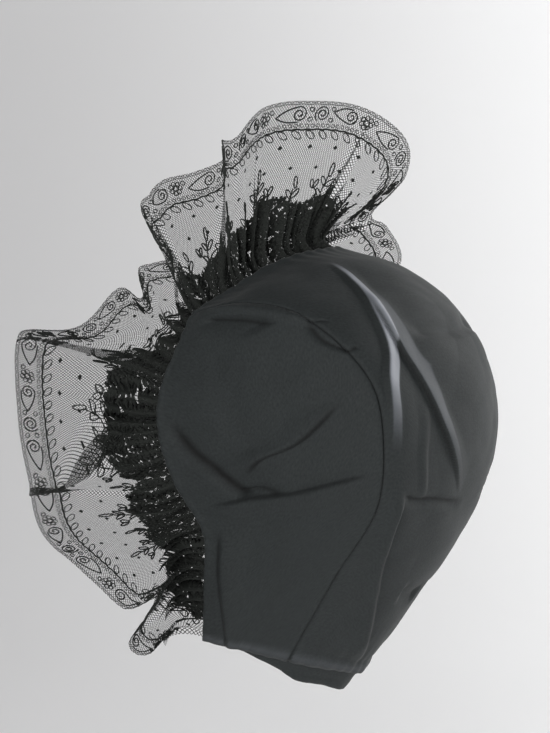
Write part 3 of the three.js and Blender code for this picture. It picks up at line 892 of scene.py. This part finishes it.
def net_material():
    """Black net: two families of slanting threads with open meshes, nearly closed in the flower ground."""
    made, shader = new_material("black_net", 0.8, 0.03)
    both, x, y = cloth_wires(made)
    pitch = NET_PITCH * MM
    first = ((x * 0.80 + y * 0.60) * (1 / pitch)).math("PINGPONG", 0.5)
    second = ((x * 0.80 - y * 0.60) * (1 / pitch)).math("PINGPONG", 0.5)
    thread = first.math("MINIMUM", second).math("LESS_THAN", 0.12)
    cell = both.node("ShaderNodeTexVoronoi", {}, {"Vector": both, "Scale": 300.0})
    wave = (x * (math.pi / (SPRAY_PITCH * MM))).math("SINE").math("ABSOLUTE")
    deep = y.math("GREATER_THAN", wave * (-GROUND_WAVE * MM) + (GROUND_TOP - 2) * MM)
    ground = deep * cell.math("LESS_THAN", 0.72)
    thread.math("MAXIMUM", ground).to(shader.inputs["Alpha"])
    shader.inputs["Base Color"].default_value = (0.018, 0.020, 0.018, 1)
    shader.inputs["Specular IOR Level"].default_value = 0.2
    return made


def cord_material():
    """Black lace cord: matt twisted thread with a slight unevenness."""
    made, shader = new_material("black_cord", 0.75, 0.04)
    place = Wire(made.node_tree.nodes.new("ShaderNodeTexCoord").outputs["Object"])
    twist = noise(place, 900.0, 2.0)
    blend(twist, (0.012, 0.014, 0.012, 1), (0.030, 0.033, 0.030, 1)).to(shader.inputs["Base Color"])
    shader.inputs["Specular IOR Level"].default_value = 0.2
    bump = place.node("ShaderNodeBump", {}, {"Strength": 0.5, "Distance": 0.0003, "Height": twist})
    bump.to(shader.inputs["Normal"])
    return made


# Pieces

def build_silk():
    """Crown, side panels and nape band."""
    silk = silk_material()
    t = np.linspace(0, 1, CAP_ROWS)
    across = np.concatenate([np.linspace(-2, 0, FAR_COLUMNS)[:-1], np.linspace(0, 2, CROWN_COLUMNS)])
    silk_piece("crown", *silk_grid(across, t), silk)
    tip = np.linspace(PANEL_TIP, 1, CAP_ROWS)
    silk_piece("side_panel_left", *silk_grid(np.linspace(2 + SEAM_STEP, 3, PANEL_COLUMNS), tip), silk)
    silk_piece("side_panel_right", *silk_grid(np.linspace(-3, -2 - SEAM_STEP, FAR_COLUMNS), tip), silk)
    silk_piece("nape_band", *band_grid(), silk)


def build_lace():
    """The net and the cord work laid on it."""
    net = net_material()
    cord = cord_material()
    faces = grid_faces(LACE_COLUMNS, LACE_ROWS)
    slot = "black_lace"
    points = LACE.reshape(-1, 3)
    sheet = mesh_piece("lace_net", points, faces, "lace_ruffle", slot, net, LACE_UV.reshape(-1, 2))
    makers = {
        "lace_border_scrolls": border_scrolls,
        "lace_border_rib": border_rib,
        "lace_sprays": sprays,
        "lace_flower_ground": flower_ground,
    }
    work = [mesh_piece(name, *make(), "lace_ruffle", slot, cord) for name, make in makers.items()]
    flat = (REACH.max() * MM, BORDER * MM)
    area = REACH.mean() * MM * BORDER * MM


# Stage

def view_axes():
    """Unit vectors from the target to the camera, to the picture's right and up."""
    a = math.radians(VIEW_AZIMUTH)
    e = math.radians(VIEW_ELEVATION)
    back = Vector((math.sin(a) * math.cos(e), -math.cos(a) * math.cos(e), math.sin(e)))
    right = Vector((0, 0, 1)).cross(back).normalized()
    return back, right, back.cross(right)


def build_camera():
    """The camera at the picture's angle. Its sensor size is that of the picture's height."""
    back, _, _ = view_axes()
    data = bpy.data.cameras.new("camera")
    data.sensor_width = SENSOR
    data.lens = SENSOR * FOCAL_PIXELS / PICTURE_HEIGHT
    camera = bpy.data.objects.new("camera", data)
    camera.location = (Vector(VIEW_TARGET) + back * VIEW_DISTANCE) * MM
    camera.rotation_mode = "QUATERNION"
    camera.rotation_quaternion = (-back).to_track_quat("-Z", "Y")
    bpy.context.scene.collection.objects.link(camera)
    bpy.context.scene.camera = camera


def backdrop_material():
    """Pale paper with a painted glow standing in for light from behind, and painted falloff of the light:
    greyer toward the picture's left.
    """
    made, shader = new_material("pale_paper", 0.9, 0.0)
    _, right, _ = view_axes()
    place = Wire(made.node_tree.nodes.new("ShaderNodeTexCoord").outputs["Object"])
    across = place.node("ShaderNodeVectorMath", {"operation": "DOT_PRODUCT"}, {0: place, 1: tuple(right)}, 1)
    ends = {0: across, 1: -0.45, 2: 0.5}
    share = across.node("ShaderNodeMapRange", {"interpolation_type": "SMOOTHSTEP"}, ends)
    # Painted falloff of the light: the colour is greyer toward the picture's left.
    blend(share, (0.62, 0.615, 0.62, 1), (0.82, 0.82, 0.825, 1)).to(shader.inputs["Base Color"])
    # Painted glow: emission standing in for light from behind, stronger toward the picture's right.
    blend(share, (0.15, 0.15, 0.15, 1), (0.30, 0.30, 0.30, 1)).to(shader.inputs["Emission Color"])
    shader.inputs["Emission Strength"].default_value = 1.0
    return made


def build_backdrop():
    """A floor just under the part that curves up into a wall behind it."""
    back, right, _ = view_axes()
    level = Vector((back.x, back.y, 0)).normalized()
    floor = CAD_BOX[0].z - FLOOR_GAP * MM
    bend = np.linspace(0, math.pi / 2, 25)
    depth = np.concatenate([[FLOOR_FRONT], -FLOOR_BACK - WALL_BEND * np.sin(bend), [-FLOOR_BACK - WALL_BEND]])
    height = np.concatenate([[0], WALL_BEND * (1 - np.cos(bend)), [WALL_HEIGHT]])
    width = np.linspace(-WALL_HEIGHT, WALL_HEIGHT, 3)
    grid = width[:, None, None] * np.array(right) + depth[:, None] * np.array(level)
    grid[..., 2] = floor + height
    mesh = bpy.data.meshes.new("backdrop")
    mesh.from_pydata(grid.reshape(-1, 3).tolist(), [], grid_faces(*grid.shape[:2]))
    mesh.polygons.foreach_set("use_smooth", np.ones(len(mesh.polygons), bool))
    mesh.materials.append(backdrop_material())
    backdrop = bpy.data.objects.new("backdrop", mesh)
    bpy.context.scene.collection.objects.link(backdrop)


# Lights by name. Columns: right, up and toward the camera from the part in metres, size in metres and power.
LIGHTS = {
    "window": (1.65, 0.85, -0.4, 1.05, 25.0),
    "fill": (-0.6, 0.1, 1.9, 1.6, 36.0),
}


def build_lights():
    """Soft lights round the part and a dim pale surround."""
    back, right, up = view_axes()
    target = Vector(VIEW_TARGET) * MM
    for name, (x, y, z, size, power) in LIGHTS.items():
        data = bpy.data.lights.new(name, "AREA")
        data.size = size
        data.energy = power
        light = bpy.data.objects.new(name, data)
        away = right * x + up * y + back * z
        light.location = target + away
        light.rotation_mode = "QUATERNION"
        light.rotation_quaternion = away.to_track_quat("Z", "Y")
        bpy.context.scene.collection.objects.link(light)
    world = bpy.data.worlds.new("surround")
    world.use_nodes = True
    world.node_tree.nodes["Background"].inputs["Color"].default_value = (0.95, 0.97, 1.0, 1)
    world.node_tree.nodes["Background"].inputs["Strength"].default_value = SURROUND
    bpy.context.scene.world = world


build_camera()
build_backdrop()
build_lights()
build_silk()
build_lace()
bpy.context.scene.view_settings.view_transform = "Standard"
bpy.context.scene.cycles.transparent_max_bounces = 40
